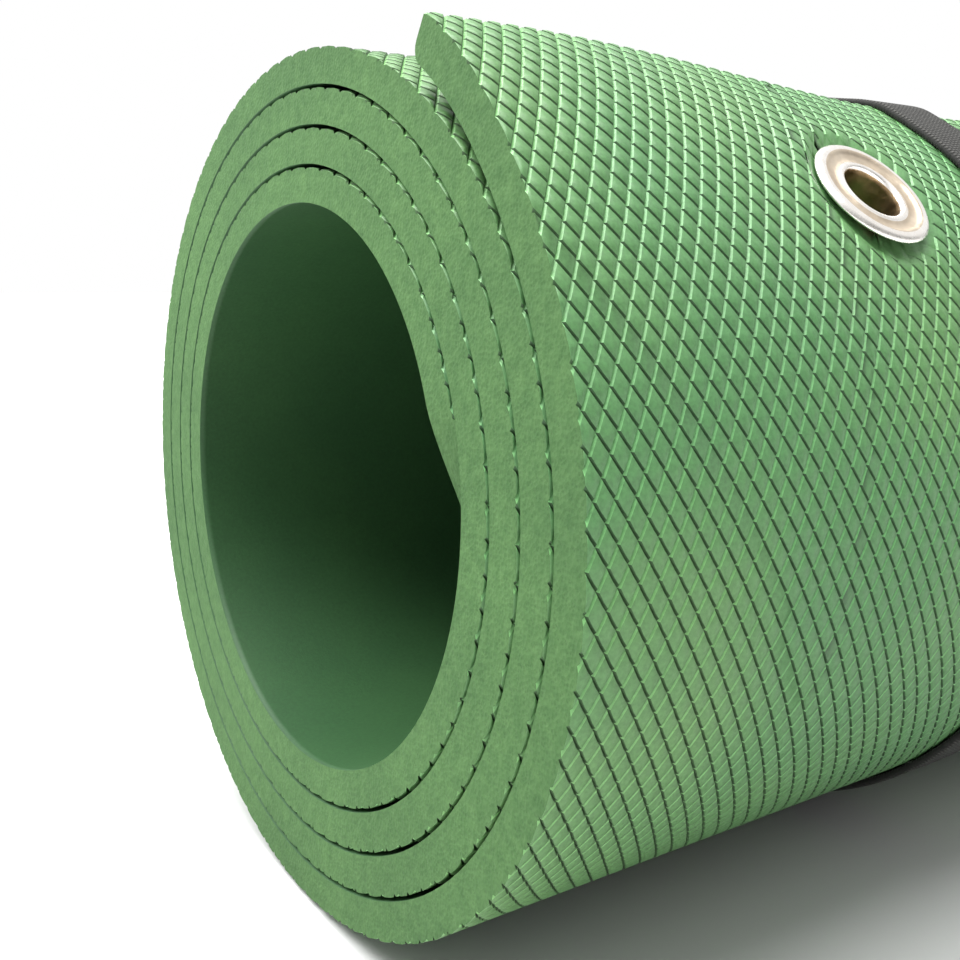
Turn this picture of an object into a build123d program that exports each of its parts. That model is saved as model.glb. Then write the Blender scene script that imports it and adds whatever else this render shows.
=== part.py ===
from build123d import *
import math
import os

# A rolled closed-cell foam sleeping mat with corner eyelets, held by two webbing straps with cam buckles.
# Millimetres. The roll lies along X. Angles are in degrees about the roll axis, from -Y rising towards +Z.
# "Turned" counts degrees along the winding, from the outer end of the mat inwards.

# mat
MAT_WIDTH = 600.0            # length of the roll
ROLL_RADIUS = 90.0           # to the embossed face, at the outer end
TURN_PITCH = 7.5             # radius lost per turn: 8 mm foam pressed together by the winding
FOAM = 7.2                   # solid foam in each turn, the rest is the parting gap
TURNS = 4.23
OUTER_END = 57.0             # angle of the mat's outer short edge
OVAL = 0.033                 # the roll sags under its own weight
OVAL_ANGLE = 11.0
ARC_SPAN = 45.0              # each turn is drawn as arcs of about this many degrees
END_PRESS = 2.8              # the straps press the outer edge flat by this much
END_PRESS_SPAN = 40.0
EDGE_ROUND = 1.9

# eyelets
EYELET_FROM_SIDE = 75.5      # centre to the mat's long edge
EYELET_FROM_END = 34.5       # centre to the mat's short edge
EYELET_BORE = 5.7
EYELET_WALL = 0.45
FLANGE_RADIUS = 11.75
FLANGE_SEAT = 0.75           # depth that the flange presses into the foam
FLANGE_PROUD = 0.75          # height of the flange over the foam
WASHER_RADIUS = 11.4
EYELET_DEPTH = 7.15          # embossed face to the rolled end of the barrel
WASHER_THICK = 0.8
ROLL_OVER = 0.4              # thickness of the barrel's rolled end
POCKET_ROOM = 0.35

# straps
WEB_WIDTH = 15.0
WEB_THICK = 1.4
WEB_LIFT = 0.4               # clear space between webbing and foam
LAYER_GAP = 0.25             # and between two layers of webbing
STRAP_FROM_END = 117.5       # middle of the webbing to the end of the roll
BRIDGE = 24.0                # degrees over which the webbing spans the step at the outer edge
CORNER_ROOM = 0.6            # extra height of the webbing over the mat's outer edge
CORNER_SPAN = 14.0           # degrees over which that height fades away
BUCKLE_ANGLE = -169.0        # the buckle sits at the back of the roll, where the oval is longest
FLOOR_FLAT = 0.85            # depth of the flat that the webbing wears where it stands

# cam buckle, in its own plane: u along the strap (upwards round the roll), n out from the foam
PLATE_LENGTH = 30.0
PLATE_WIDTH = 21.0
PLATE_LOW = 2.0
PLATE_THICK = 1.2
BAR_DEPTH = 2.6
SLOT_DEPTH = 2.9
SLOT_WIDTH = 16.4
CHEEK_THICK = 1.2
CHEEK_RADIUS = 3.1
PIN_U = 3.0
PIN_N = 8.85
PIN_RADIUS = 1.25
PIN_HEAD_RADIUS = 2.1
PIN_HEAD = 0.7
RUNNING = 0.05               # radial clearance of the lever on its pin
CAM_RADIUS = 3.6
CAM_OFFSET = 0.55
CAM_SIDE_ROOM = 0.2
LEVER_ANGLE = 35.0
LEVER_LENGTH = 19.0
LEVER_THICK = 2.2
SPRING_WIRE = 0.5
SPRING_RADIUS = 2.1
SPRING_TURNS = 3.5
SPRING_ROOM = 2.9

# webbing route
STITCHED_END = 24.0          # degrees past the buckle where the sewn end stops
ROUND_STEP = 6.0             # degrees between the points of the webbing round the roll
TAIL_END = 54.0              # degrees past the buckle where the free tail stops
KEEPER_AT = 40.0
KEEPER_WIDTH = 9.0
KEEPER_THICK = 0.9

TOTAL_TURNED = TURNS * 360


def oval(angle):
    """How far the sagging roll departs from round at this angle."""
    return 1 + OVAL * math.cos(math.radians(2 * (angle - OVAL_ANGLE)))


def outer_radius(turned):
    """Radius of the embossed face."""
    press = END_PRESS * max(0.0, 1 - turned / END_PRESS_SPAN) ** 2
    return (ROLL_RADIUS - TURN_PITCH * turned / 360) * oval(OUTER_END - turned) - press


def inner_radius(turned):
    """Radius of the smooth face."""
    return (ROLL_RADIUS - TURN_PITCH * turned / 360 - FOAM) * oval(OUTER_END - turned)


def polar(radius, angle):
    """A point of the roll's cross-section, as (0, y, z) about the roll axis."""
    a = math.radians(angle)
    return Vector(0, -radius * math.cos(a), radius * math.sin(a))


def spiral_arcs(radius_at, start, stop):
    """One face of the mat between two places along the winding, as a chain of arcs."""
    count = 2 * round(abs(stop - start) / ARC_SPAN)
    steps = [start + (stop - start) * i / count for i in range(count + 1)]
    points = [polar(radius_at(turned), OUTER_END - turned) for turned in steps]
    return [ThreePointArc(*points[i:i + 3]).edge() for i in range(0, count, 2)]


def face_plane(turned, x):
    """A plane on the embossed face: its x runs along the roll, its z points out of the roll."""
    angle = OUTER_END - turned
    return Plane(
        origin=polar(outer_radius(turned), angle) + Vector(x, 0, 0),
        x_dir=(1, 0, 0),
        z_dir=polar(1, angle),
    )


def eyelet_places():
    """Name, turned and x of each eyelet."""
    from_end = math.degrees(EYELET_FROM_END / ROLL_RADIUS)
    inner_middle = ROLL_RADIUS - TURN_PITCH * TURNS - FOAM / 2
    inner_from_end = math.degrees(EYELET_FROM_END / inner_middle)
    side = MAT_WIDTH / 2 - EYELET_FROM_SIDE
    return [
        ("outer_left", from_end, -side),
        ("outer_right", from_end, side),
        ("inner_left", TOTAL_TURNED - inner_from_end, -side),
        ("inner_right", TOTAL_TURNED - inner_from_end, side),
    ]


def ring(plane, radius, low, high):
    """A solid disc on a plane between two heights."""
    return plane * Pos(0, 0, low) * Cylinder(radius, high - low, align=(Align.CENTER, Align.CENTER, Align.MIN))


def make_mat():
    """The whole mat as one wound sheet, with a pocketed hole for each eyelet."""
    outer = spiral_arcs(outer_radius, 0, TOTAL_TURNED)
    inner = spiral_arcs(inner_radius, TOTAL_TURNED, 0)
    outline = Wire([
        *outer,
        Line(outer[-1] @ 1, inner[0] @ 0).edge(),
        *inner,
        Line(inner[-1] @ 1, outer[0] @ 0).edge(),
    ])
    mat = Pos(-MAT_WIDTH / 2, 0, 0) * extrude(Face(outline), MAT_WIDTH, dir=(1, 0, 0))
    corners = [outer[0] @ 0, outer[-1] @ 1, inner[0] @ 0, inner[-1] @ 1]
    ends = [e for e in mat.edges().filter_by(Axis.X)
            if any((e.center() - c).length < 1 for c in corners)]
    mat = fillet(ends, EDGE_ROUND)
    for _, turned, x in eyelet_places():
        plane = face_plane(turned, x)
        mat -= ring(plane, EYELET_BORE + EYELET_WALL + 0.1, -FOAM - 0.6, 1)
        mat -= ring(plane, FLANGE_RADIUS + POCKET_ROOM, -FLANGE_SEAT, FLANGE_PROUD + 0.2)
        mat -= ring(plane, WASHER_RADIUS + POCKET_ROOM, -FOAM - 0.25, -EYELET_DEPTH + WASHER_THICK + 0.1)
    return mat


def make_eyelet(turned, x):
    """Barrel, rolled flange on the embossed face, and the clinched end under the washer."""
    bore = EYELET_BORE
    wall = EYELET_BORE + EYELET_WALL
    top = Spline((bore, -1.4), (7.1, FLANGE_PROUD), (8.9, 0.3), (10.4, 0.5), (FLANGE_RADIUS, -FLANGE_SEAT + 0.15),
                 tangents=((0, 1), (0.15, -1)))
    low = -EYELET_DEPTH
    rim = Polyline(
        (FLANGE_RADIUS, -FLANGE_SEAT + 0.15), (FLANGE_RADIUS - 0.2, -FLANGE_SEAT + 0.02),
        (wall, -FLANGE_SEAT + 0.02), (wall, low + ROLL_OVER),
        (wall + 1.3, low + ROLL_OVER), (wall + 1.3, low), (bore, low), (bore, -1.4))
    section = make_face([top.edge(), *rim.edges()])
    eyelet = revolve(Rot(90, 0, 0) * section, Axis.Z)
    return face_plane(turned, x) * eyelet


def make_washer(turned, x):
    """The ring that the barrel is clinched over, on the smooth face."""
    hole = EYELET_BORE + EYELET_WALL + 0.08
    low = -EYELET_DEPTH + 0.02
    seat = -EYELET_DEPTH + ROLL_OVER + 0.03
    high = -EYELET_DEPTH + WASHER_THICK
    section = make_face(Polyline(
        (hole, seat), (hole, high - 0.1), (hole + 0.6, high), (WASHER_RADIUS - 0.8, high),
        (WASHER_RADIUS, high - 0.4), (WASHER_RADIUS, low + 0.1), (WASHER_RADIUS - 0.3, low),
        (hole + 1.8, low), (hole + 1.45, seat), (hole, seat)).edges())
    return face_plane(turned, x) * revolve(Rot(90, 0, 0) * section, Axis.Z)


def strap_base_radius(angle):
    """Radius of what the webbing lies on, all the way round from the buckle with falling angles."""
    leave = OUTER_END - 360 + BRIDGE
    if angle >= leave:
        return outer_radius(OUTER_END - angle)
    if angle <= OUTER_END - 360:
        past = OUTER_END - 360 - angle
        return outer_radius(past) + CORNER_ROOM * max(0.0, 1 - past / CORNER_SPAN)
    start = polar(outer_radius(OUTER_END - leave), leave)
    stop = polar(outer_radius(0) + CORNER_ROOM, OUTER_END)
    a = math.radians(angle)
    ray = Vector(0, -math.cos(a), math.sin(a))
    chord = stop - start
    return (start.Y * chord.Z - start.Z * chord.Y) / (ray.Y * chord.Z - ray.Z * chord.Y)


def over(angle, height):
    """A point of the section at a height over what the webbing lies on."""
    return polar(strap_base_radius(angle) + height, angle)


BUCKLE = face_plane(OUTER_END - BUCKLE_ANGLE, 0)


def beside(u, n):
    """A point of the section given in the buckle's own plane."""
    return BUCKLE.origin + BUCKLE.y_dir * u + BUCKLE.z_dir * n


def webbing_route():
    """Centre line of the webbing: sewn end, fold round the buckle's bar, once round the roll, cam, tail."""
    low = WEB_LIFT + WEB_THICK / 2
    step = WEB_THICK + LAYER_GAP
    sewn = [over(BUCKLE_ANGLE - d, low + step) for d in (STITCHED_END, 21, 18, 15)]
    bar = -PLATE_LENGTH / 2 + BAR_DEPTH
    turn = 1.5
    middle = PLATE_LOW + PLATE_THICK / 2
    fold = [beside(-17, 3.45), beside(-15, middle + turn)]
    for d in (90, 60, 30, 0, -30, -60, -90):
        a = math.radians(d)
        fold.append(beside(bar + turn * math.cos(a), middle + turn * math.sin(a)))
    fold.append(beside(-15.2, 0.75))
    corner = OUTER_END - 360
    stops = [BUCKLE_ANGLE - 13.5, corner + BRIDGE, corner, BUCKLE_ANGLE - 339.5]
    round_roll = [over(stops[0], low)]
    for first, last in zip(stops, stops[1:]):
        count = 2 * math.ceil(abs(last - first) / ROUND_STEP / 2)
        round_roll += [over(first + (last - first) * i / count, low) for i in range(1, count + 1)]
    on_plate = PLATE_LOW + PLATE_THICK + 0.12 + WEB_THICK / 2
    front = PLATE_LENGTH / 2
    cam = [beside(front + 11, -1.1), beside(front + 6, 1.6), beside(front + 2.6, 3.35), beside(front + 0.5, on_plate),
           beside(front - 2, on_plate + 0.03), beside(9, on_plate), beside(0, on_plate), beside(-4.5, on_plate + 0.1),
           beside(-8, on_plate + 0.75), beside(-11.5, 5.72), beside(-15, 5.7), beside(-18, 4.8)]
    tail = [over(BUCKLE_ANGLE - d, low + 2 * step) for d in (15.5, 18, 21, 24.2)]
    tail += [over(BUCKLE_ANGLE - 27, low + 1.6 * step), over(BUCKLE_ANGLE - 30, low + step)]
    tail += [over(BUCKLE_ANGLE - d, low + step) for d in (33, 38, 43, 48, TAIL_END)]
    return sewn + fold + round_roll + cam + tail


def along(before, point, after):
    """Direction of the circle through three points, at the middle one."""
    back, forth = point - before, after - point
    return (back * (1 / back.length ** 2) + forth * (1 / forth.length ** 2)).normalized()


def arcs_through(points):
    """A chain of arcs, each through three points, with a straight piece where one is left over."""
    chain = [ThreePointArc(*points[i:i + 3]).edge() for i in range(0, len(points) - 2, 2)]
    if len(points) % 2 == 0:
        chain.append(Line(points[-2], points[-1]).edge())
    return chain


def make_webbing(x):
    """One length of webbing: a ribbon of constant thickness along its route."""
    route = webbing_route()
    left, right = [], []
    for i, point in enumerate(route):
        before = route[i - 1] if i else route[0] * 2 - route[1]
        after = route[i + 1] if i < len(route) - 1 else route[-1] * 2 - route[-2]
        side = along(before, point, after).cross(Vector(1, 0, 0)) * (WEB_THICK / 2)
        left.append(point + side)
        right.append(point - side)
    right.reverse()
    outline = Wire([
        *arcs_through(left), Line(left[-1], right[0]).edge(),
        *arcs_through(right), Line(right[-1], left[0]).edge(),
    ])
    ribbon = extrude(Face(outline), WEB_WIDTH, dir=(1, 0, 0))
    return Pos(x - WEB_WIDTH / 2, 0, 0) * ribbon


def buckle_plane(x):
    """The buckle's plane at its place along the roll."""
    return Pos(x, 0, 0) * BUCKLE


def block(u0, u1, n0, n1, half_width, x0=0.0):
    """A box in the buckle's plane."""
    size = Box(2 * half_width, u1 - u0, n1 - n0, align=(Align.CENTER, Align.MIN, Align.MIN))
    return Pos(x0, u0, n0) * size


def across(radius, half_width, u=PIN_U, n=PIN_N, x0=0.0):
    """A cylinder across the buckle."""
    return Pos(x0, u, n) * Rot(0, 90, 0) * Cylinder(radius, 2 * half_width)


def make_buckle_frame(x):
    """Base plate with the rear bar, and the two cheeks that carry the pin."""
    half = PLATE_LENGTH / 2
    top = PLATE_LOW + PLATE_THICK
    frame = block(-half, half, PLATE_LOW, top, PLATE_WIDTH / 2)
    frame = fillet(frame.edges().filter_by(Axis.Z), 2.4)
    frame -= block(-half + BAR_DEPTH, -half + BAR_DEPTH + SLOT_DEPTH, 0, 6, SLOT_WIDTH / 2)
    for sign in (-1, 1):
        middle = sign * (PLATE_WIDTH - CHEEK_THICK) / 2
        foot = Polyline((PIN_U - 10, top - 0.4), (PIN_U + 7, top - 0.4), (PIN_U + 2.85, PIN_N + 1.1),
                        (PIN_U - 2.85, PIN_N + 1.1), (PIN_U - 10, top - 0.4))
        cheek = extrude(Plane.YZ * make_face(foot.edges()), CHEEK_THICK / 2, both=True)
        frame += Pos(middle, 0, 0) * cheek
        frame += across(CHEEK_RADIUS, CHEEK_THICK / 2, x0=middle)
    frame -= across(PIN_RADIUS + 0.02, PLATE_WIDTH)
    return buckle_plane(x) * frame


def make_cam_lever(x):
    """Toothed cam with its thumb lever, standing up at rest."""
    half = PLATE_WIDTH / 2 - CHEEK_THICK - CAM_SIDE_ROOM
    shift = CAM_OFFSET * math.sqrt(0.5)
    lever = across(CAM_RADIUS, half, PIN_U - shift, PIN_N - shift)
    arm = block(0, LEVER_LENGTH, CAM_RADIUS - LEVER_THICK - 0.5, CAM_RADIUS - 0.5, half - 0.3)
    arm = fillet(arm.edges().filter_by(Axis.Z).sort_by(Axis.Y)[-2:], 4.0)
    for i in range(4):
        arm += across(0.6, half - 4, LEVER_LENGTH - 3.2 - 2.2 * i, CAM_RADIUS - 0.55)
    lever += Pos(0, PIN_U, PIN_N) * Rot(LEVER_ANGLE, 0, 0) * arm
    for i in range(6):
        a = math.radians(205 + 22 * i)
        reach = CAM_RADIUS + 0.05
        lever -= across(0.32, half + 1, PIN_U - shift + reach * math.cos(a), PIN_N - shift + reach * math.sin(a))
    lever -= across(PIN_RADIUS + RUNNING, half + 1)
    lever -= across(SPRING_ROOM, SPRING_WIRE * (SPRING_TURNS + 1) / 2 + 0.3)
    return buckle_plane(x) * lever


def make_pin(x):
    """Rivet that the cam turns on."""
    half = PLATE_WIDTH / 2
    pin = across(PIN_RADIUS, half)
    for sign in (-1, 1):
        head = across(PIN_HEAD_RADIUS, PIN_HEAD / 2, x0=sign * (half + PIN_HEAD / 2))
        pin += head
    return buckle_plane(x) * pin


def make_spring(x):
    """Torsion spring's coil round the pin, inside the cam."""
    pitch = SPRING_WIRE * 1.12
    height = pitch * SPRING_TURNS
    path = Helix(pitch, height, SPRING_RADIUS)
    wire = Plane(origin=path.position_at(0), z_dir=path.tangent_at(0)) * Circle(SPRING_WIRE / 2)
    coil = sweep(wire, path=path)
    return buckle_plane(x) * Pos(0, PIN_U, PIN_N) * Rot(0, 90, 0) * Pos(0, 0, -height / 2) * coil


def make_keeper(x):
    """Elastic bridge sewn to both edges of the webbing, holding the tail down."""
    angle = BUCKLE_ANGLE - KEEPER_AT
    origin = over(angle, 0)
    plane = Plane(origin=origin + Vector(x, 0, 0), x_dir=(1, 0, 0), z_dir=polar(1, angle))
    inside = WEB_WIDTH / 2 + 0.15
    outside = inside + KEEPER_THICK
    high = WEB_LIFT + 2 * WEB_THICK + LAYER_GAP + 0.45
    keeper = Box(2 * outside, KEEPER_WIDTH, high + KEEPER_THICK - WEB_LIFT - 0.2,
                 align=(Align.CENTER, Align.CENTER, Align.MIN))
    keeper = fillet(keeper.edges().filter_by(Axis.Y).sort_by(Axis.Z)[-2:], 0.8)
    keeper -= Pos(0, 0, -1) * Box(2 * inside, KEEPER_WIDTH + 2, high - WEB_LIFT - 0.2 + 1,
                                  align=(Align.CENTER, Align.CENTER, Align.MIN))
    return plane * Pos(0, 0, WEB_LIFT + 0.2) * keeper


def make_all():
    """Every node, about the roll axis."""
    nodes = {"mat": make_mat()}
    for name, turned, x in eyelet_places():
        nodes[f"{name}_eyelet"] = make_eyelet(turned, x)
        nodes[f"{name}_washer"] = make_washer(turned, x)
    for side, sign in (("left", -1), ("right", 1)):
        x = sign * (MAT_WIDTH / 2 - STRAP_FROM_END)
        nodes[f"{side}_webbing"] = make_webbing(x)
        nodes[f"{side}_buckle_frame"] = make_buckle_frame(x)
        nodes[f"{side}_cam_lever"] = make_cam_lever(x)
        nodes[f"{side}_cam_pin"] = make_pin(x)
        nodes[f"{side}_cam_spring"] = make_spring(x)
        nodes[f"{side}_keeper"] = make_keeper(x)
    return nodes


def main():
    """Stands the assembly on the floor with the middle of its footprint at the origin."""
    nodes = make_all()
    low = nodes["left_webbing"].bounding_box().min.Z + FLOOR_FLAT
    front = min(s.bounding_box().min.Y for s in nodes.values())
    back = max(s.bounding_box().max.Y for s in nodes.values())
    below = Pos(0, 0, low) * Box(2 * MAT_WIDTH, 400, 50, align=(Align.CENTER, Align.CENTER, Align.MAX))
    for side in ("left", "right"):
        nodes[f"{side}_webbing"] = nodes[f"{side}_webbing"] - below
    place = Pos(0, -(front + back) / 2, -low)
    print("roll axis at y", round(-(front + back) / 2, 3), "z", round(-low, 3))
    os.makedirs("parts", exist_ok=True)
    for name, solid in nodes.items():
        shape = place * solid
        shape.label = name
        export_step(shape, f"parts/{name}.step")


main()
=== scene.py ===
import math

import bmesh
import bpy
import numpy as np
from mathutils import Matrix, Vector


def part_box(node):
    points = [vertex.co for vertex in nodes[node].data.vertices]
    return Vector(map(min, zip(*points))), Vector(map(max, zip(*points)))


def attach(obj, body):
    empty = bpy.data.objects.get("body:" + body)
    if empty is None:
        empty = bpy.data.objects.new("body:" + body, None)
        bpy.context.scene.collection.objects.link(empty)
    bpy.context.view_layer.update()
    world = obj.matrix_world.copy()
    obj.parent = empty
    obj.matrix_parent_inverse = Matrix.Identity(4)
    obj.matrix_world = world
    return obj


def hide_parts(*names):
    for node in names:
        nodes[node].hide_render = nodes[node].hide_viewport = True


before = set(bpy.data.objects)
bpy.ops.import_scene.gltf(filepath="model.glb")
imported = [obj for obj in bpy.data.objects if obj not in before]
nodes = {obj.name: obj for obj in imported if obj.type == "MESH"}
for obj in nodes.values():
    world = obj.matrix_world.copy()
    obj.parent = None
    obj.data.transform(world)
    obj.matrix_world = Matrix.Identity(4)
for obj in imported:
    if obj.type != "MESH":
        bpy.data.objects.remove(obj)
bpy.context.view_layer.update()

# A rolled foam mat with corner eyelets and two webbing straps. Lengths here are in millimetres until a mesh
# is made, and angles in degrees about the roll axis, from -Y rising towards +Z. "Turned" counts degrees along
# the winding, from the mat's outer end inwards. x is along the roll, s is the distance from the outer end.
MM = 0.001
AXIS_Y = -5.888
AXIS_Z = 85.234
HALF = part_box("mat")[1].x / MM
RADIUS = 90.0
PITCH = 7.5
FOAM = 6.80                  # a little thinner than the pitch, so the turns part with a dark line
TURNED_END = 4.23 * 360
OUTER_END = 57.0             # angle of the mat's outer end
OVAL = 0.033                 # sag, as a share of the radius
OVAL_ANGLE = 11.0            # where the roll is widest
EDGE_ROUND = 3.0             # rounding of the smooth face at the two short edges

# the outer end, standing off at its corners and held down between them
LEFT_LIFT = 5.9
RIGHT_LIFT = 4.9
HELD_DOWN = 2.3
LIFT_FROM = 15.0             # distance from the side where the lift starts to fade, and where it ends
LIFT_TO = 128.0
LIFT_TURNED = 19.5
INSIDE_LIFT = 0.76           # share of the lift that the smooth face follows
STRAP_PRESS = 2.8            # how far the straps press the outer end down, fading over this many degrees
STRAP_PRESS_TURNED = 40.0

# the inner end, wound a little out of line
RECESS_START = 1478.0        # degrees turned
RECESS = 9.6                 # greatest drift into the roll
RECESS_RATE = 0.075
RECESS_POWER = 1.55
RECESS_RADIUS = 50.0         # turns degrees into distance on the innermost turn
RECESS_WIDE = 70.0           # the drift fades over this much of the roll's length
END_RADIUS = 58.0            # about where the winding stops

# embossing
PAD_WIDE = 3.556             # pads repeat along the roll
PAD_ROW = 2.93               # rows repeat round the roll, two to a pad's height
PAD_SLANT = -1.62            # each row's shift along the roll
PAD_X = 12.43 - HALF         # one pad's place
PAD_S = 58.0
GROOVE = 0.50                # depth where four pads meet
BOW = 0.10                   # how far the long grooves curve
EDGE_BAND = 9.0              # embossing kept at the rims of the hidden turns
RELIEF_AT_STRAP = 0.55       # share of the embossing left under a strap

# eyelets
EYELET_FROM_SIDE = 75.5
EYELET_FROM_END = 34.5
BORE = 5.7
FLANGE = 11.75
HOLE = 6.25
EYELET_DEPTH = 7.15
EYELET_TILT = -6.0
DIMPLE = 1.35                # how far the foam sinks under a flange
SWELL = 0.35                 # and how far it rises round it

# straps
WEB_WIDTH = 15.0
WEB_THICK = 1.5
STRAP_X = HALF - 117.5
BUCKLE_ANGLE = -169.0
TAIL_END = 54.0
WEB_GAP = 0.2                # webbing's underside over the foam
LAYER_STEP = WEB_THICK + 0.12


# ---------- shape of the roll ----------

def smooth(low, high, value):
    """0 below low, 1 above high, and a smooth rise between."""
    u = np.clip((value - low) / (high - low), 0, 1)
    return u * u * (3 - 2 * u)


def oval(angle):
    """The roll's sag into an oval, as a factor on its radius."""
    return 1 + OVAL * np.cos(np.radians(2 * (angle - OVAL_ANGLE)))


def flap_lift(turned, x):
    """How far the outer end stands off at its corners, and how far it is held down between them."""
    left = LEFT_LIFT * (1 - smooth(LIFT_FROM, LIFT_TO, x + HALF))
    right = RIGHT_LIFT * (1 - smooth(LIFT_FROM, LIFT_TO, HALF - x))
    return (left + right - HELD_DOWN) * np.exp(-(turned / LIFT_TURNED) ** 2)


def outer_radius(turned, x):
    return (RADIUS - PITCH * turned / 360) * oval(OUTER_END - turned) + flap_lift(turned, x)


def inner_radius(turned, x):
    """The smooth face, rounded off at the mat's two short edges."""
    base = (RADIUS - PITCH * turned / 360 - FOAM) * oval(OUTER_END - turned)
    base = base + INSIDE_LIFT * np.maximum(flap_lift(turned, x), 0)
    from_start = np.radians(turned) * RADIUS
    from_stop = np.radians(TURNED_END - turned) * (RADIUS - PITCH * TURNED_END / 360)
    for distance in (from_start, from_stop):
        e = np.clip(EDGE_ROUND - distance, 0, EDGE_ROUND)
        base = base + EDGE_ROUND - np.sqrt(EDGE_ROUND ** 2 - e ** 2)
    return base


def recess(turned, x):
    """The inner end was wound a little out of line, so its left corner sits inside the roll."""
    from_start = np.radians(np.maximum(turned - RECESS_START, 0)) * RECESS_RADIUS
    drift = RECESS_RATE * from_start ** RECESS_POWER
    capped = drift / (1 + (drift / RECESS) ** 3) ** (1 / 3)
    return capped * (1 - smooth(0, RECESS_WIDE, x + HALF))


def place(radius, turned, x):
    """Points in metres, in the model's frame."""
    angle = np.radians(OUTER_END - turned)
    shift = x + recess(turned, x)
    return np.stack([shift, AXIS_Y - radius * np.cos(angle), AXIS_Z + radius * np.sin(angle)], -1) * MM


# distance along the embossed face for each angle turned, measured at mid-length
TABLE_TURNED = np.linspace(0, TURNED_END, 4000)
middle_line = place(outer_radius(TABLE_TURNED, 0.0), TABLE_TURNED, np.zeros(len(TABLE_TURNED))) / MM
TABLE_S = np.concatenate([[0], np.cumsum(np.linalg.norm(np.diff(middle_line, axis=0), axis=1))])
LENGTH = TABLE_S[-1]


def turned_at(s):
    return np.interp(s, TABLE_S, TABLE_TURNED)


def s_at(turned):
    return np.interp(turned, TABLE_TURNED, TABLE_S)


FIRST_TURN = float(s_at(372.0))     # a little more than one turn, so the open face is embossed throughout
EYELETS = {
    "outer_left": (EYELET_FROM_SIDE - HALF, EYELET_FROM_END),
    "outer_right": (HALF - EYELET_FROM_SIDE, EYELET_FROM_END),
    "inner_left": (EYELET_FROM_SIDE - HALF, LENGTH - EYELET_FROM_END),
    "inner_right": (HALF - EYELET_FROM_SIDE, LENGTH - EYELET_FROM_END),
}


# ---------- the sheet, laid flat ----------
# Flat vertices are (x, s, h). h is the height over the embossed face, or INSIDE for the smooth face.

INSIDE = -100.0
NEAR = 1e-3
# material slots; the groove walls' slot takes a darker copy of the foam as painted shade, and the up-left
# bevels' slot a lighter copy as painted highlight
EMBOSSED, CUT, SMOOTH, SHADED_GROOVES, LIT_BEVELS = range(5)


def near(a, b):
    return abs(a - b) < NEAR


def diamonds():
    """Raised pads with curved grooves between them, over the first turn and along both rims of the rest."""
    spare = 8                       # laid past the sheet's edges, to be trimmed
    first_row = int((-spare - PAD_S) / PAD_ROW)
    last_row = int((LENGTH + spare - PAD_S) / PAD_ROW)
    span = int((2 * HALF + 20) / PAD_WIDE)
    rows = np.arange(first_row, last_row + 1)
    start = np.floor((-HALF - spare - PAD_X - PAD_SLANT * rows) / PAD_WIDE).astype(int)
    j = np.repeat(rows, span)
    i = (start[:, None] + np.arange(span)[None]).ravel()
    x = PAD_X + PAD_WIDE * i + PAD_SLANT * j
    s = PAD_S + PAD_ROW * j
    keep = (s < FIRST_TURN + 6) | (np.abs(x) > HALF - EDGE_BAND - 6)
    i, j, x, s = i[keep], j[keep], x[keep], s[keep]

    keys, vertices = {}, []

    def shared(kind, a, b, xs, ss, height):
        """Vertices in the grooves, each made once and used by every pad beside it."""
        ids = np.empty(len(a), int)
        for n, (p, q) in enumerate(zip(a.tolist(), b.tolist())):
            key = (kind, p, q)
            if key not in keys:
                keys[key] = len(vertices)
                vertices.append((xs[n], ss[n], height))
            ids[n] = keys[key]
        return ids

    half = PAD_WIDE / 2
    left = (x - half, s)
    up = (x - PAD_SLANT - half, s - PAD_ROW)
    down = (x + PAD_SLANT + half, s + PAD_ROW)
    right = (x + half, s)
    deep = -GROOVE
    node_l = shared("node", i - 1, j, *left, deep)
    node_u = shared("node", i - 1, j - 1, *up, deep)
    node_d = shared("node", i, j + 1, *down, deep)
    node_r = shared("node", i, j, *right, deep)

    def halfway(p, q):
        return (p[0] + q[0]) / 2 - BOW, (p[1] + q[1]) / 2 + BOW

    mid_low = shared("mid", i, j, *halfway(left, down), deep * 1.2)
    mid_high = shared("mid", i, j - 1, *halfway(up, right), deep * 1.2)

    def inner(p, q, bend, height):
        """A point of the pad's top, p of the way from left to up and q of the way from left to down."""
        px = left[0] + p * (up[0] - left[0]) + q * (down[0] - left[0]) - bend
        ps = left[1] + p * (up[1] - left[1]) + q * (down[1] - left[1]) + bend
        first = len(vertices)
        vertices.extend(zip(px, ps, np.full(len(px), height)))
        return np.arange(first, first + len(px))

    low, high = 0.085, 0.93
    back, front = 0.13, 0.925
    crown = 0.55
    tops = [
        inner(low, back, 0, -0.12), inner(low, crown, BOW, 0.03), inner(low, front, 0, -0.06),
        inner(high, front, 0, -0.10), inner(high, crown, BOW, 0.0), inner(high, back, 0, -0.20),
    ]
    ring = [node_l, mid_low, node_d, node_r, mid_high, node_u]
    faces, slots = [], []
    last = len(ring) - 1
    for k in range(len(ring)):
        n = (k + 1) % len(ring)
        faces.append(np.stack([ring[k], ring[n], tops[n], tops[k]], 1))
        # the bevel facing up-left takes the painted-highlight slot, the other walls the painted-shade slot
        slots.append(LIT_BEVELS if k == last else SHADED_GROOVES)
    faces.append(np.stack([tops[0], tops[1], tops[4], tops[5]], 1))
    faces.append(np.stack([tops[1], tops[2], tops[3], tops[4]], 1))
    slots += [EMBOSSED, EMBOSSED]
    return np.array(vertices, float), np.concatenate(faces), np.repeat(slots, len(x))


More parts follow.
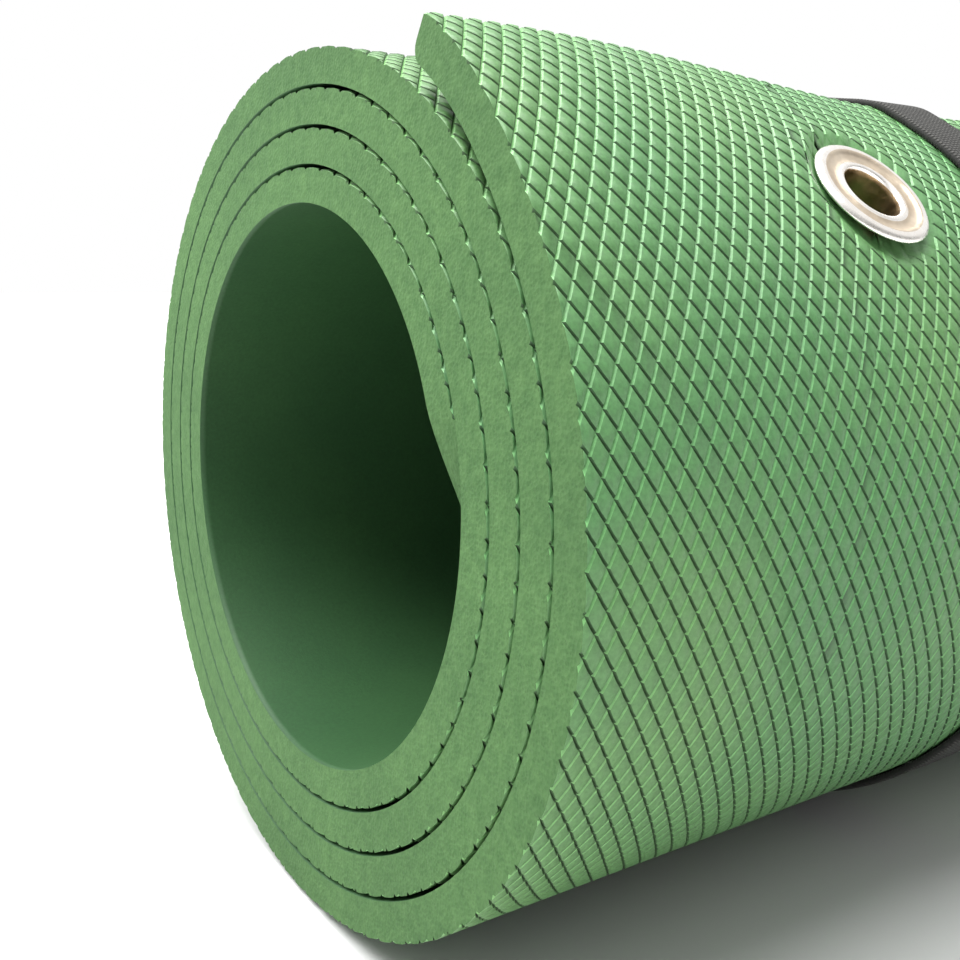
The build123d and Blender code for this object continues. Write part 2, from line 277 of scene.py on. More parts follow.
def zip_between(bm, first, second, first_at, second_at, slot):
    """Triangles between two chains of vertices, each with a rising parameter."""
    a, b = 0, 0
    while a < len(first) - 1 or b < len(second) - 1:
        next_a = first_at[a + 1] if a < len(first) - 1 else math.inf
        next_b = second_at[b + 1] if b < len(second) - 1 else math.inf
        if next_a <= next_b:
            corners = (first[a], first[a + 1], second[b])
            a += 1
        else:
            corners = (first[a], second[b + 1], second[b])
            b += 1
        if len(set(corners)) == 3 and bm.faces.get(corners) is None:
            bm.faces.new(corners).material_index = slot


def grid(bm, xs, ss, height, slot, flip):
    """A flat grid of quads. Returns its vertices as rows along s."""
    verts = [[bm.verts.new((x, s, height)) for x in xs] for s in ss]
    for m in range(len(ss) - 1):
        for n in range(len(xs) - 1):
            corners = [verts[m][n], verts[m][n + 1], verts[m + 1][n + 1], verts[m + 1][n]]
            if flip:
                corners.reverse()
            bm.faces.new(corners).material_index = slot
    return verts


def columns(edge):
    """Places along the roll for a coarse grid: close together at the rims and round the eyelets."""
    rim = HALF - np.array([0, 1.5, 4, 8, 14, 21, 30, 40, 50, 58])
    eyelet = HALF - EYELET_FROM_SIDE + np.arange(-12, 13, 3)
    rest = np.array([210, 200, 190, 182, 174, 164, 150, 120, 90, 60, 30])
    half = np.unique(np.concatenate([rim, eyelet, rest]))
    half = half[half <= edge + 1e-6]
    if half[-1] < edge - 0.5:
        half = np.append(half, edge)
    return np.concatenate([-half[::-1], [0.0], half])


def bearing(v, centre):
    return math.atan2(v.co.y - centre[1], v.co.x - centre[0])


def hole_rim(bm, centre, on_inside):
    """Opens a face of the sheet at an eyelet and pulls the opening's rim to a circle."""
    reach = 9.0
    doomed = []
    for face in bm.faces:
        c = face.calc_center_median()
        if (c.z < INSIDE / 2) == on_inside and math.hypot(c.x - centre[0], c.y - centre[1]) < reach:
            doomed.append(face)
    touched = {v for f in doomed for v in f.verts}
    bmesh.ops.delete(bm, geom=doomed, context="FACES")
    rim = [v for v in touched if v.is_valid and v.link_faces]
    for v in rim:
        angle = bearing(v, centre)
        v.co.x = centre[0] + HOLE * math.cos(angle)
        v.co.y = centre[1] + HOLE * math.sin(angle)
    return sorted(rim, key=lambda v: bearing(v, centre))


def open_eyelet(bm, centre):
    """A hole through the sheet, with a wall between its two faces."""
    outside = hole_rim(bm, centre, False)
    inside = hole_rim(bm, centre, True)
    angles = []
    for rim in (outside, inside):
        turn = [bearing(v, centre) for v in rim]
        angles.append(turn + [turn[0] + 2 * math.pi])
    zip_between(bm, outside + [outside[0]], inside + [inside[0]], angles[0], angles[1], CUT)


def build_flat():
    """The whole sheet, closed, with its embossing, its smooth face, its cut edges and its eyelet holes."""
    vertices, faces, slots = diamonds()
    mesh = bpy.data.meshes.new("flat")
    mesh.from_pydata(vertices.tolist(), [], faces.tolist())
    mesh.polygons.foreach_set("material_index", slots)
    bm = bmesh.new()
    bm.from_mesh(mesh)
    bpy.data.meshes.remove(mesh)

    def whole():
        return bm.verts[:] + bm.edges[:] + bm.faces[:]

    # trimmed to the sheet, and the hidden turns cleared between their rims
    for co, no in (((-HALF, 0, 0), (-1, 0, 0)), ((HALF, 0, 0), (1, 0, 0)),
                   ((0, 0, 0), (0, -1, 0)), ((0, LENGTH, 0), (0, 1, 0))):
        bmesh.ops.bisect_plane(bm, geom=whole(), dist=1e-5, plane_co=co, plane_no=no, clear_outer=True)
    bmesh.ops.bisect_plane(bm, geom=whole(), dist=1e-5, plane_co=(0, FIRST_TURN, 0), plane_no=(0, 1, 0))
    band = HALF - EDGE_BAND
    for sign in (-1, 1):
        faces = [f for f in bm.faces if f.calc_center_median().y > FIRST_TURN]
        geom = list({e for f in faces for e in f.edges} | {v for f in faces for v in f.verts}) + faces
        bmesh.ops.bisect_plane(bm, geom=geom, dist=1e-5, plane_co=(sign * band, 0, 0), plane_no=(1, 0, 0))
    middle = []
    for f in bm.faces:
        c = f.calc_center_median()
        if c.y > FIRST_TURN and abs(c.x) < band:
            middle.append(f)
    bmesh.ops.delete(bm, geom=middle, context="FACES")

    # groove walls and bevels that are pressed flat lose their painted shade and painted highlight, and take
    # the pads' plain material
    grooves = [f for f in bm.faces if f.material_index != EMBOSSED]
    centres = np.array([f.calc_center_median() for f in grooves])
    for f, kept in zip(grooves, relief_kept(centres[:, 0], centres[:, 1])):
        if kept < 0.5:
            f.material_index = EMBOSSED

    border = [v for v in bm.verts if v.is_boundary]

    def chain(on_line, along):
        """The border's vertices on one line, in order along it."""
        return sorted([v for v in border if on_line(v.co)], key=lambda v: along(v.co))

    def rising_x(co):
        return co.x

    def rising_s(co):
        return co.y

    def falling_s(co):
        return -co.y

    rims = {sign: chain(lambda co: near(co.x, sign * HALF), rising_s) for sign in (-1, 1)}
    start = chain(lambda co: near(co.y, 0), rising_x)
    band_l = chain(lambda co: near(co.x, -band) and co.y > FIRST_TURN - NEAR, falling_s)
    band_r = chain(lambda co: near(co.x, band) and co.y > FIRST_TURN - NEAR, rising_s)
    across = chain(lambda co: near(co.y, FIRST_TURN) and abs(co.x) < band - NEAR, rising_x)
    stop_l = chain(lambda co: near(co.y, LENGTH) and co.x < 0, rising_x)
    stop_r = chain(lambda co: near(co.y, LENGTH) and co.x > 0, rising_x)

    # the hidden turns' embossed face, coarse, stitched inside the embossed rims
    coarse_step = 5
    count = int((LENGTH - FIRST_TURN) / coarse_step)
    ss = np.linspace(FIRST_TURN + coarse_step, LENGTH, count)
    xs = columns(band - 4)
    coarse = grid(bm, xs, ss, 0.0, EMBOSSED, False)
    outline = [row[0] for row in reversed(coarse)] + coarse[0][1:-1] + [row[-1] for row in coarse]

    def round_three_sides(v, edge, top):
        """Rises by 1 up the left side, by 1 across and by 1 down the right side."""
        down = (v.co.y - top) / (LENGTH - top)
        if near(v.co.x, -edge):
            return 1 - down
        if near(v.co.x, edge):
            return 2 + down
        return 1 + (v.co.x + edge) / (2 * edge)

    loop = band_l + across + band_r
    zip_between(bm, loop, outline, [round_three_sides(v, band, FIRST_TURN) for v in loop],
                [round_three_sides(v, -xs[0], ss[0]) for v in outline], EMBOSSED)

    # the smooth face, with rows close together on its rounded ends
    turned = np.concatenate([
        np.degrees(np.array([0, 0.15, 0.5, 1.0, 1.7, 2.5, 3.3, 5]) / RADIUS),
        np.arange(5.5, TURNED_END - 5, 2.5),
        TURNED_END - np.degrees(np.array([4.2, 3.3, 2.5, 1.7, 1.0, 0.5, 0.15, 0]) / END_RADIUS),
    ])
    xs_in = columns(HALF)
    inside = grid(bm, xs_in, s_at(turned), INSIDE, SMOOTH, True)
    for sign, column in ((-1, 0), (1, -1)):
        side = [row[column] for row in inside]
        zip_between(bm, rims[sign], side, [v.co.y for v in rims[sign]], [v.co.y for v in side], CUT)
    zip_between(bm, start, inside[0], [v.co.x for v in start], [v.co.x for v in inside[0]], CUT)
    stop = stop_l + coarse[-1] + stop_r
    zip_between(bm, stop, inside[-1], [v.co.x for v in stop], [v.co.x for v in inside[-1]], CUT)
    for centre in EYELETS.values():
        open_eyelet(bm, centre)
    return bm


def relief_kept(x, s):
    """How much of the embossing is left where the eyelets and straps have pressed it flat."""
    kept = np.ones(len(x))
    for ex, es in EYELETS.values():
        away = np.hypot(x - ex, s - es)
        kept *= smooth(FLANGE - 0.5, FLANGE + 5.5, away)
    for sign in (-1, 1):
        beside_strap = smooth(WEB_WIDTH / 2, WEB_WIDTH / 2 + 9, np.abs(x - sign * STRAP_X))
        kept *= RELIEF_AT_STRAP + (1 - RELIEF_AT_STRAP) * beside_strap
    return kept


def dimple(x, s):
    """The foam sinks under each flange and swells a little round it."""
    depth = np.zeros(len(x))
    for ex, es in EYELETS.values():
        away = np.hypot(x - ex, s - es)
        depth -= DIMPLE * (1 - smooth(FLANGE - 0.3, FLANGE + 3.0, away))
        depth += SWELL * np.exp(-((away - FLANGE - 4.5) / 2.6) ** 2)
    return depth


def make_mat(materials):
    """The flat sheet, wound up."""
    bm = build_flat()
    bm.normal_update()
    mesh = bpy.data.meshes.new("foam_mat")
    bm.to_mesh(mesh)
    bm.free()
    co = np.empty(len(mesh.vertices) * 3)
    mesh.vertices.foreach_get("co", co)
    x, s, h = co.reshape(-1, 3).T
    turned = turned_at(s)
    on_face = h > INSIDE / 2
    outside = outer_radius(turned, x) + h * relief_kept(x, s) + dimple(x, s)
    radius = np.where(on_face, outside, inner_radius(turned, x))
    mesh.vertices.foreach_set("co", place(radius, turned, x).ravel())
    for m in materials:
        mesh.materials.append(m)
    mesh.update()
    mat = link("foam_mat", mesh)
    bm = bmesh.new()
    bm.from_mesh(mesh)
    bmesh.ops.recalc_face_normals(bm, faces=bm.faces[:])
    for f in bm.faces:
        f.smooth = f.material_index in (SMOOTH, EMBOSSED)
    bm.to_mesh(mesh)
    bm.free()
    return mat


def link(name, mesh):
    piece = bpy.data.objects.new(name, mesh)
    bpy.context.scene.collection.objects.link(piece)
    return piece


# ---------- eyelets ----------

def face_frame(centre, tilt, sunk):
    """A frame on the embossed face: x along the roll, z outwards."""
    x, s = centre
    turned = float(turned_at(s))
    radius = float(outer_radius(turned, x)) - sunk
    origin = Vector(place(np.array(radius), np.array(turned), np.array(x)))
    angle = math.radians(OUTER_END - turned)
    normal = Vector((0, -math.cos(angle), math.sin(angle)))
    along = Vector((1, 0, 0))
    up = normal.cross(along)
    basis = Matrix((along, up, normal)).transposed().to_4x4()
    return Matrix.Translation(origin) @ basis @ Matrix.Rotation(math.radians(tilt), 4, "X")


def lathe(name, profile, matrix, materials, slots, steps=96):
    """A ring made by turning a closed profile of (radius, height), with a material slot for each segment."""
    bm = bmesh.new()
    rows = []
    for k in range(steps):
        a = 2 * math.pi * k / steps
        rows.append([bm.verts.new(matrix @ Vector((r * math.cos(a) * MM, r * math.sin(a) * MM, z * MM)))
                     for r, z in profile])
    for k in range(steps):
        here, there = rows[k], rows[(k + 1) % steps]
        for n in range(len(profile)):
            m = (n + 1) % len(profile)
            face = bm.faces.new((here[n], there[n], there[m], here[m]))
            face.smooth = True
            face.material_index = slots[n]
    bmesh.ops.recalc_face_normals(bm, faces=bm.faces[:])
    mesh = bpy.data.meshes.new(name)
    bm.to_mesh(mesh)
    bm.free()
    for m in materials:
        mesh.materials.append(m)
    return link(name, mesh)


def curve_points(knots, per=6):
    """A Catmull-Rom curve through the knots, with `per` points to a knot."""
    knots = [np.array(k, float) for k in knots]
    padded = [2 * knots[0] - knots[1], *knots, 2 * knots[-1] - knots[-2]]
    out = []
    for a, b, c, d in zip(padded, padded[1:], padded[2:], padded[3:]):
        for k in range(per):
            t = k / per
            out.append(0.5 * (2 * b + (c - a) * t + (2 * a - 5 * b + 4 * c - d) * t ** 2
                              + (3 * b - a - 3 * c + d) * t ** 3))
    out.append(knots[-1])
    return [tuple(p) for p in out]


def make_eyelets(nickel, painted_channel_shade, brass):
    """Rolled eyelets: nickel, with painted shade and reflection as a darker tan nickel in the channel round
    the bore, and brass inside the barrel.
    """
    # (radius, height), from under the flange's rim over its roll and channel, down the barrel to the clinch
    # and back up outside
    flange = curve_points([
        (FLANGE - 1.1, -0.55), (FLANGE - 0.15, -0.35), (FLANGE, 0.1), (FLANGE - 0.75, 0.72),
        (FLANGE - 1.9, 0.78), (9.0, 0.36), (8.0, 0.22), (7.2, 0.42), (6.5, 0.62), (5.95, 0.3),
        (BORE, -0.6), (BORE, -1.6),
    ])
    barrel = [(BORE, -3.0), (BORE, -5.0), (BORE, -6.3), (BORE + 0.15, -6.9), (BORE + 0.7, -EYELET_DEPTH),
              (BORE + 1.5, -EYELET_DEPTH), (BORE + 1.75, -EYELET_DEPTH + 0.3), (BORE + 0.5, -6.4),
              (BORE + 0.45, -1.2), (BORE + 0.7, -0.6)]
    profile = flange + barrel
    bright, channel_shade_slot, inside = range(3)
    face_low = -0.2
    slots = []
    for (radius, height), (_, then) in zip(profile, profile[1:] + profile[:1]):
        if height < face_low or then < face_low:
            slots.append(inside if radius < FLANGE - 2 else bright)
        else:
            # the channel takes the darker tan nickel: painted shade and reflection
            slots.append(channel_shade_slot if 7.2 < radius < FLANGE - 1.6 else bright)
    for name, centre in EYELETS.items():
        outer = name.startswith("outer")
        matrix = face_frame(centre, tilt=EYELET_TILT if outer else 0, sunk=0.1 if outer else 0.6)
        ring = lathe(f"{name}_rolled_eyelet", profile, matrix, (nickel, painted_channel_shade, brass), slots)
        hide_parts(f"{name}_eyelet")
        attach(ring, "root")


# ---------- straps ----------

def cad_radius(turned):
    """Radius of the CAD mat's outer face under a strap."""
    press = STRAP_PRESS * max(0.0, 1 - turned / STRAP_PRESS_TURNED) ** 2
    return (RADIUS - PITCH * turned / 360) * float(oval(OUTER_END - turned)) - press


def polar(radius, angle):
    """(y, z) from the roll's axis."""
    a = math.radians(angle)
    return np.array([-radius * math.cos(a), radius * math.sin(a)])


BUCKLE_OUT = polar(1, BUCKLE_ANGLE)
BUCKLE_UP = np.array([BUCKLE_OUT[1], -BUCKLE_OUT[0]])
BUCKLE_ORIGIN = polar(cad_radius(OUTER_END - BUCKLE_ANGLE), BUCKLE_ANGLE)


def beside(u, n):
    """A point u up and n out from the buckle's origin."""
    return BUCKLE_ORIGIN + BUCKLE_UP * u + BUCKLE_OUT * n


def webbing_base(angle):
    """Radius of what the webbing lies on, spanning the step at the mat's outer end."""
    leave, arrive = OUTER_END - 336, OUTER_END - 360
    clear = 0.1
    if angle > leave:
        return float(outer_radius(OUTER_END - angle, STRAP_X))
    if angle <= arrive:
        return float(outer_radius(arrive - angle, STRAP_X)) + clear
    start = polar(float(outer_radius(OUTER_END - leave, STRAP_X)), leave)
    stop = polar(float(outer_radius(0.0, STRAP_X)) + clear, OUTER_END)
    ray = polar(1, angle)
    chord = stop - start
    return float((start[0] * chord[1] - start[1] * chord[0]) / (ray[0] * chord[1] - ray[1] * chord[0]))


def over(angle, height):
    """A point over what the webbing lies on."""
    return polar(webbing_base(angle) + height, angle)


def webbing_route():
    """Knots of the webbing's middle line, from its sewn end to its tail."""
    low = WEB_GAP + WEB_THICK / 2
    step = LAYER_STEP
    # the sewn end, and round the buckle's bar
    route = [over(BUCKLE_ANGLE - d, low + step) for d in (24, 21, 18, 15)]
    bar, turn, middle = -12.4, 1.5, 2.6
    route += [beside(-17, 3.45), beside(-15, middle + turn)]
    for d in (90, 45, 0, -45, -90):
        a = math.radians(d)
        route.append(beside(bar + turn * math.cos(a), middle + turn * math.sin(a)))
    route.append(beside(-15.2, 0.85))
    # round the roll
    first, last, count = BUCKLE_ANGLE - 13.5, BUCKLE_ANGLE - 339.5, 110
    route += [over(first + (last - first) * k / count, low) for k in range(count + 1)]
    # under the cam and out over the sewn end
    top = 4.02
    route += [beside(u, n) for u, n in (
        (26, -1.1), (21, 1.6), (17.6, 3.35), (15.5, top), (13, top + 0.03), (9, top), (0, top),
        (-4.5, top + 0.1), (-8, top + 0.75), (-11.5, 5.72), (-15, 5.7), (-18, 4.8),
    )]
    # the tail, coming down by one layer where the sewn end stops
    route += [over(BUCKLE_ANGLE - d, low + 2 * step) for d in (15.5, 18, 21, 24.2)]
    route += [over(BUCKLE_ANGLE - 27, low + 1.6 * step), over(BUCKLE_ANGLE - 30, low + step)]
    route += [over(BUCKLE_ANGLE - d, low + step) for d in (33, 38, 43, 48, TAIL_END)]
    return route


def ribbon_section():
    """The webbing's cross-section, with softly rolled edges, as (across, out)."""
    half, thick, edge = WEB_WIDTH / 2, WEB_THICK / 2, 0.6
    rolled = [(half - 0.15, thick * 0.55), (half, 0.0), (half - 0.15, -thick * 0.55)]
    steps = 12
    flat = [-half + edge + (WEB_WIDTH - 2 * edge) * k / steps for k in range(steps + 1)]
    outside = [(u, thick) for u in flat]
    underside = [(-u, -thick) for u in flat]
    return outside + rolled + underside + [(-u, -v) for u, v in rolled]


def make_webbing(side, sign, material):
    """A woven ribbon swept along its route."""
    route = np.array(curve_points(webbing_route(), per=4))
    gap = np.linalg.norm(np.diff(route, axis=0), axis=1)
    at = np.concatenate([[0], np.cumsum(gap)])
    ring_step = 0.9
    count = int(at[-1] / ring_step)
    want = np.linspace(0, at[-1], count)
    line = np.stack([np.interp(want, at, route[:, k]) for k in (0, 1)], 1)
    line[1:-1] = (line[:-2] + 2 * line[1:-1] + line[2:]) / 4
    along = np.gradient(line, axis=0)
    along /= np.linalg.norm(along, axis=1)[:, None]
    out = np.stack([along[:, 1], -along[:, 0]], 1)
    section = ribbon_section()
    bm = bmesh.new()
    uv = bm.loops.layers.uv.new("weave")
    rings = []
    for k in range(count):
        ring = []
        for u, v in section:
            p = line[k] + out[k] * v
            height = max(AXIS_Z + p[1], 0.0)
            ring.append(bm.verts.new(((sign * STRAP_X + u) * MM, (AXIS_Y + p[0]) * MM, height * MM)))
        rings.append(ring)
    size = len(section)
    for k in range(count - 1):
        for n in range(size):
            m = (n + 1) % size
            face = bm.faces.new((rings[k][n], rings[k][m], rings[k + 1][m], rings[k + 1][n]))
            face.smooth = True
            for loop, (row, col) in zip(face.loops, ((k, n), (k, m), (k + 1, m), (k + 1, n))):
                from_edge = section[col][0] + WEB_WIDTH / 2
                loop[uv].uv = (from_edge * MM * 10, want[row] * MM * 10)
    for k in (0, -1):
        bm.faces.new(rings[k])
    bmesh.ops.recalc_face_normals(bm, faces=bm.faces[:])
    name = f"{side}_woven_webbing"
    mesh = bpy.data.meshes.new(name)
    bm.to_mesh(mesh)
    bm.free()
    mesh.materials.append(material)
    piece = link(name, mesh)
    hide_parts(f"{side}_webbing")
    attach(piece, f"{side}_strap")


# ---------- materials ----------

class Shader:
    """A small helper round one material's node tree."""

    def __init__(self, name, **values):
        self.material = bpy.data.materials.new(name)
        self.material.use_nodes = True
        self.tree = self.material.node_tree
        self.main = self.tree.nodes["Principled BSDF"]
        for key, value in values.items():
            self.main.inputs[key.replace("_", " ")].default_value = value
        self.coords = self.tree.nodes.new("ShaderNodeTexCoord").outputs["Object"]

    def feed(self, socket, value):
        """Links an output to a socket, or sets the socket's own value."""
        if isinstance(value, bpy.types.NodeSocket):
            self.tree.links.new(value, socket)
        else:
            socket.default_value = value

    def node(self, kind, **inputs):
        made = self.tree.nodes.new(kind)
        for key, value in inputs.items():
            self.feed(made.inputs[key.replace("_", " ")], value)
        return made

    def noise(self, scale, detail=3.0, rough=0.55):
        settings = {"Vector": self.coords, "Scale": scale, "Detail": detail, "Roughness": rough}
        return self.node("ShaderNodeTexNoise", **settings).outputs["Fac"]

    def ramp(self, fac, stops):
        made = self.node("ShaderNodeValToRGB", Fac=fac)
        ramp = made.color_ramp
        while len(ramp.elements) < len(stops):
            ramp.elements.new(0.5)
        for element, (position, colour) in zip(ramp.elements, stops):
            element.position = position
            element.color = (*colour, 1)
        return made.outputs["Color"]

    def mix(self, fac, a, b, kind="MIX"):
        made = self.tree.nodes.new("ShaderNodeMix")
        made.data_type = "RGBA"
        made.blend_type = kind
        for name, value in (("Factor", fac), ("A", a), ("B", b)):
            self.feed(made.inputs[name], value)
        return made.outputs["Result"]

    def to(self, name, output):
        self.tree.links.new(output, self.main.inputs[name])

    def bump(self, height, strength, distance, normal=None):
        made = self.node("ShaderNodeBump", Height=height, Strength=strength, Distance=distance)
        if normal:
            self.tree.links.new(normal, made.inputs["Normal"])
        return made.outputs["Normal"]

    def uneven_roughness(self, scale, low, high):
        self.to("Roughness", self.ramp(self.noise(scale), [(0.3, grey(low)), (0.7, grey(high))]))


def scaled(colour, k):
    return tuple(c * k for c in colour)


def grey(k):
    return (k, k, k)


def foam_embossed(name, tone, rough):
    """The embossed face. Its grooves' darker copy is painted shade and its bevels' lighter copy painted
    highlight; they differ in gloss too.
    """
    shader = Shader(name, Roughness=rough, Specular_IOR_Level=0.45)
    base = scaled((0.082, 0.224, 0.078), tone)
    faded = scaled((0.112, 0.246, 0.082), tone)
    patch = shader.ramp(shader.noise(14), [(0.35, scaled(base, 0.93)), (0.68, faded)])
    grain = shader.ramp(shader.noise(1500, 2), [(0.3, grey(0.84)), (0.7, grey(1.12))])
    shader.to("Base Color", shader.mix(1.0, patch, grain, "MULTIPLY"))
    shader.uneven_roughness(60, rough * 0.88, rough * 1.15)
    shader.to("Normal", shader.bump(shader.noise(2600, 3, 0.7), 0.22, 0.0002))
    return shader.material


def foam_cut():
    """The sliced edge: matt, mottled and pitted by open cells, with painted shade darkening each pit."""
    shader = Shader("foam_cut_edge", Roughness=0.85, Specular_IOR_Level=0.25)
    cells = shader.node("ShaderNodeTexVoronoi", Vector=shader.coords, Scale=1500.0).outputs["Distance"]
    dark, light = (0.046, 0.112, 0.036), (0.076, 0.160, 0.056)
    mottle = shader.ramp(shader.noise(420, 4, 0.7), [(0.3, dark), (0.72, light)])
    broad = shader.ramp(shader.noise(35), [(0.3, (0.88, 0.9, 0.88)), (0.7, (1.12, 1.1, 1.06))])
    # each open cell's pit is darkened where the bump sinks: painted shade
    painted_pit_shade = shader.ramp(cells, [(0.0, grey(0.62)), (0.35, grey(1))])
    uneven = shader.mix(1.0, mottle, broad, "MULTIPLY")
    shader.to("Base Color", shader.mix(0.6, uneven, painted_pit_shade, "MULTIPLY"))
    coarse = shader.bump(shader.noise(260, 4, 0.6), 0.35, 0.0006)
    shader.to("Normal", shader.bump(cells, 0.4, 0.0003, coarse))
    return shader.material


def foam_smooth():
    """The unembossed face, seen inside the roll. Its colour is painted shade: far darker than the embossed
    face, to darken the roll's inside.
    """
    shader = Shader("foam_smooth_face_painted_shade", Roughness=0.6, Specular_IOR_Level=0.35)
    # colours well below the embossed face's: painted shade for the roll's inside
    patch = shader.ramp(shader.noise(22), [(0.3, (0.022, 0.074, 0.024)), (0.7, (0.032, 0.096, 0.030))])
    grain = shader.ramp(shader.noise(1300, 2), [(0.3, grey(0.88)), (0.7, grey(1.08))])
    shader.to("Base Color", shader.mix(1.0, patch, grain, "MULTIPLY"))
    shader.to("Normal", shader.bump(shader.noise(1800, 3, 0.7), 0.2, 0.0002))
    return shader.material


def metal(name, light, dark, rough):
    """Metal with clouded patches, uneven gloss and a very fine grain."""
    shader = Shader(name, Metallic=1.0, Roughness=rough)
    tone = shader.noise(180, 4, 0.6)
    shader.to("Base Color", shader.ramp(tone, [(0.3, dark), (0.65, light)]))
    shader.uneven_roughness(540, rough * 0.8, rough * 1.35)
    shader.to("Normal", shader.bump(shader.noise(1440, 2), 0.06, 0.0001))
    return shader.material


def moulded(name, colour, rough, grain):
    """A dark coated or moulded surface, with a fine grain."""
    shader = Shader(name, Roughness=rough, Specular_IOR_Level=0.45)
    shades = [(0.3, scaled(colour, 0.8)), (0.7, scaled(colour, 1.3))]
    shader.to("Base Color", shader.ramp(shader.noise(90), shades))
    shader.uneven_roughness(500, rough * 0.85, rough * 1.15)
    shader.to("Normal", shader.bump(shader.noise(grain, 2), 0.25, 0.0001))
    return shader.material


def woven(name, dark, light):
    """Narrow-loom webbing: lengthwise ribs crossed by a fine weft, from the ribbon's own coordinates."""
    shader = Shader(name, Roughness=0.8, Specular_IOR_Level=0.3)
    uv = shader.tree.nodes.new("ShaderNodeUVMap")
    uv.uv_map = "weave"
    ribs = shader.node("ShaderNodeTexWave", Vector=uv.outputs["UV"], Scale=26.0, Distortion=0.6, Detail=1.0)
    ribs.bands_direction = "X"
    weft = shader.node("ShaderNodeTexWave", Vector=uv.outputs["UV"], Scale=38.0, Distortion=0.8, Detail=1.0)
    weft.bands_direction = "Y"
    height = shader.mix(1.0, ribs.outputs["Color"], weft.outputs["Color"], "MULTIPLY")
    fuzz = shader.noise(900, 3, 0.7)
    # the colour follows the weave's height, darker in its hollows: painted shade, mixed with a random fuzz
    # tone
    tone = shader.mix(0.35, height, fuzz)
    shader.to("Base Color", shader.ramp(tone, [(0.15, dark), (0.75, light)]))
    weave = shader.bump(height, 0.7, 0.0005)
    shader.to("Normal", shader.bump(fuzz, 0.3, 0.0002, weave))
    return shader.material


# ---------- camera, light and floor ----------

def make_camera():
    """Past the roll's left end, in front of it and a little above its axis."""
    data = bpy.data.cameras.new("camera")
    data.lens = 41.08
    data.sensor_width = 36
    data.shift_y = -0.14
    data.clip_start = 0.01
    camera = bpy.data.objects.new("camera", data)
    bpy.context.scene.collection.objects.link(camera)
    end_centre = Vector((-HALF, AXIS_Y, AXIS_Z)) * MM
    offset_in_radii = Vector((-0.948, -2.20889, 0.40729))
    camera.location = end_centre + offset_in_radii * RADIUS * MM
    camera.rotation_euler = (math.radians(86.76), 0, math.radians(-32.84))
    bpy.context.scene.camera = camera


def make_world():
    """White light from all round, strongest from above and behind the roll."""
    world = bpy.data.worlds.new("studio")
    bpy.context.scene.world = world
    world.use_nodes = True
    tree = world.node_tree
    background = tree.nodes["Background"]
    sky = tree.nodes.new("ShaderNodeTexCoord").outputs["Generated"]
    towards = tree.nodes.new("ShaderNodeVectorMath")
    towards.operation = "DOT_PRODUCT"
    towards.inputs[1].default_value = Vector((-0.05, 0.60, 0.78)).normalized()
    tree.links.new(sky, towards.inputs[0])
    fade = tree.nodes.new("ShaderNodeMapRange")
    fade.interpolation_type = "SMOOTHSTEP"
    for name, value in (("From Min", -0.40), ("From Max", 0.24), ("To Min", 0.35), ("To Max", 1.0)):
        fade.inputs[name].default_value = value
    tree.links.new(towards.outputs["Value"], fade.inputs["Value"])
    tree.links.new(fade.outputs["Result"], background.inputs["Strength"])
    background.inputs["Color"].default_value = (1, 1, 1, 1)


def make_light(name, kind, energy, towards):
    """A light that shines from the given direction."""
    data = bpy.data.lights.new(name, kind)
    data.energy = energy
    light = bpy.data.objects.new(name, data)
    bpy.context.scene.collection.objects.link(light)
    light.rotation_mode = "QUATERNION"
    light.rotation_quaternion = Vector(towards).to_track_quat("Z", "Y")
    return light


def make_lights():
    """A broad sun, even over the whole floor, and a soft disc above and beyond the roll's left end."""
    key = make_light("key", "SUN", 6.0, (-0.12, 0.10, 0.98))
    key.data.angle = math.radians(60)
    side = make_light("side", "AREA", 2.6, (-0.32, 0.18, 0.38))
    side.data.shape = "DISK"
    side.data.size = 0.30
    side.location = (-0.62, 0.20, 0.46)
    side.visible_camera = False


def make_floor():
    bm = bmesh.new()
    bmesh.ops.create_circle(bm, cap_ends=True, radius=14, segments=96)
    mesh = bpy.data.meshes.new("floor")
    bm.to_mesh(mesh)
    bm.free()
    shader = Shader("pale_floor", Roughness=0.9, Specular_IOR_Level=0.1)
    shader.to("Base Color", shader.ramp(shader.noise(3, 2), [(0.3, grey(0.56)), (0.7, grey(0.59))]))
    mesh.materials.append(shader.material)
    link("floor", mesh)


# ---------- making ----------

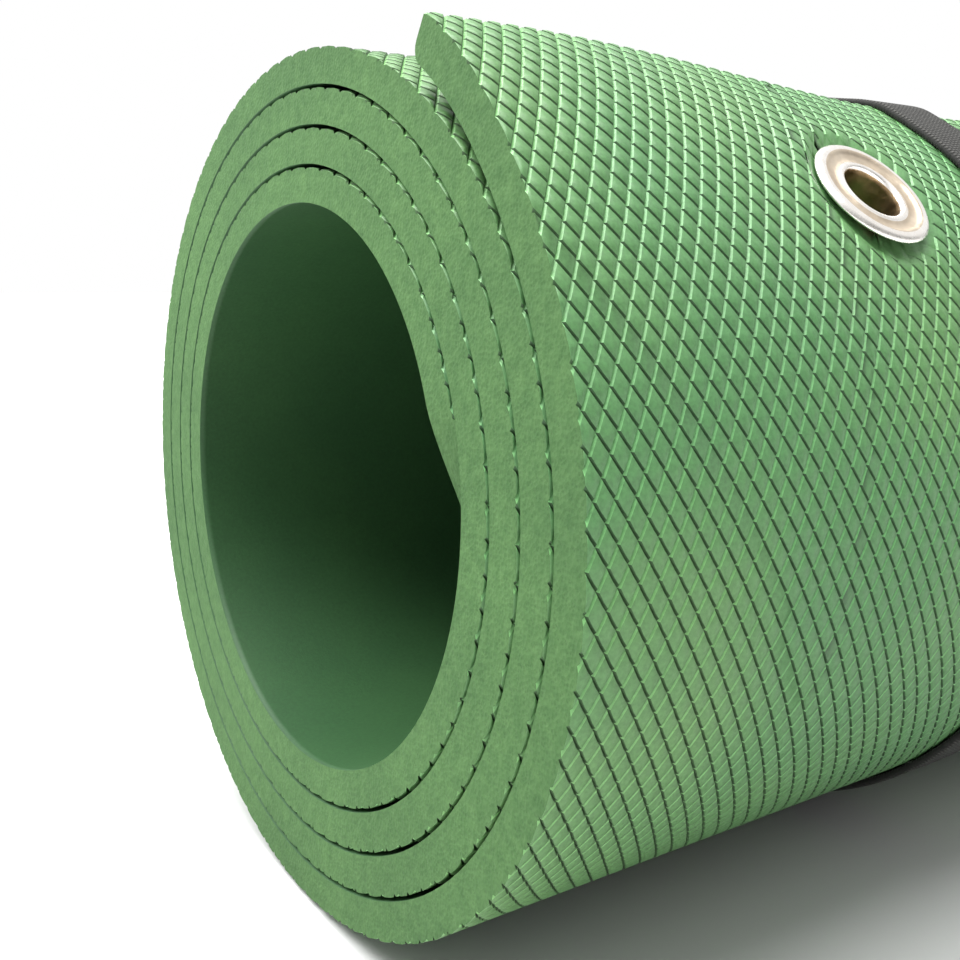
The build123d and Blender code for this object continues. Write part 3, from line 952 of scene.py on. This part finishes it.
def finish_cad_node(name, material, bevel=0.0):
    """A carried-over node gets its material and, where asked, softened edges."""
    node = nodes[name]
    node.data.materials.clear()
    node.data.materials.append(material)
    if bevel:
        modifier = node.modifiers.new("soft_edges", "BEVEL")
        modifier.width = bevel * MM
        modifier.segments = 2
        modifier.limit_method = "ANGLE"


make_camera()
make_world()
make_lights()
make_floor()
bpy.context.scene.view_settings.view_transform = "Standard"

# one material for each of the mat's slots, in their order; the smooth face's colour is painted shade, the
# grooves' darker copy painted shade, the bevels' lighter copy painted highlight
foam = (
    foam_embossed("foam_embossed", 1.0, 0.46), foam_cut(), foam_smooth(),
    foam_embossed("foam_grooves_painted_shade", 0.40, 0.7), foam_embossed("foam_bevels_painted_highlight", 1.8, 0.36),
)
mat = make_mat(foam)
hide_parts("mat")
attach(mat, "root")

nickel = metal("satin_nickel", (0.93, 0.90, 0.86), (0.86, 0.81, 0.75), 0.26)
brass = metal("worn_brass", (0.52, 0.38, 0.22), (0.26, 0.18, 0.10), 0.36)
zinc = metal("zinc_plate", (0.78, 0.79, 0.80), (0.62, 0.63, 0.65), 0.33)
# a darker tan nickel for the eyelets' channel: painted shade and reflection
painted_channel_shade = metal("nickel_painted_channel_shade", (0.66, 0.57, 0.45), (0.50, 0.41, 0.31), 0.42)
make_eyelets(nickel, painted_channel_shade, brass)
for corner in EYELETS:
    finish_cad_node(f"{corner}_washer", nickel)

webbing = woven("charcoal_webbing", (0.020, 0.020, 0.019), (0.085, 0.083, 0.076))
black_steel = moulded("black_coat", (0.028, 0.028, 0.030), 0.38, 900)
black_plastic = moulded("black_nylon", (0.024, 0.024, 0.026), 0.55, 1600)
elastic = moulded("black_elastic", (0.02, 0.02, 0.021), 0.85, 1100)
for side, sign in (("left", -1), ("right", 1)):
    make_webbing(side, sign, webbing)
    finish_cad_node(f"{side}_buckle_frame", black_steel, 0.2)
    finish_cad_node(f"{side}_cam_lever", black_plastic, 0.15)
    finish_cad_node(f"{side}_cam_pin", zinc, 0.1)
    finish_cad_node(f"{side}_cam_spring", zinc)
    finish_cad_node(f"{side}_keeper", elastic)
